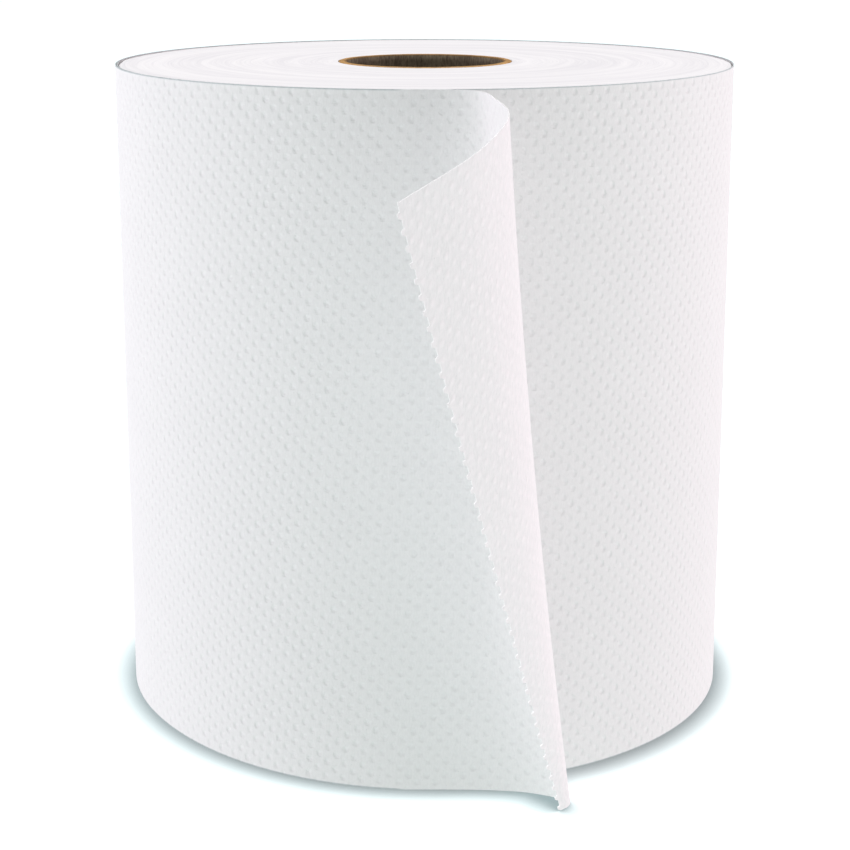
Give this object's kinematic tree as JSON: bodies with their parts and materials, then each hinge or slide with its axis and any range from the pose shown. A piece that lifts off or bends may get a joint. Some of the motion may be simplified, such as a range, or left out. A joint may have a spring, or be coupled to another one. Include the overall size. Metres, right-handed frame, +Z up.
{
  "type": "paper towel roll",
  "caption": "Hardwound roll of white embossed paper towel on a kraft core, standing on its end with its loose tail curling out.",
  "frame": {"origin": "on the floor plane, at the centre of the footprint of roll and tail together; the roll's own axis stands 45 mm behind it", "axes": "+Z up along the roll's axis, -Y towards the front, where the loose tail curls out, +X to the right seen from the front"},
  "size_m": [0.1959, 0.2861, 0.203],
  "materials": {
    "towel_paper": "soft matt white, dot embossed",
    "kraft_board": "matt brown wound board"
  },
  "bodies": {
    "root": {"towel_roll": "towel_paper", "core_tube": "kraft_board"}
  },
  "joints": []
}
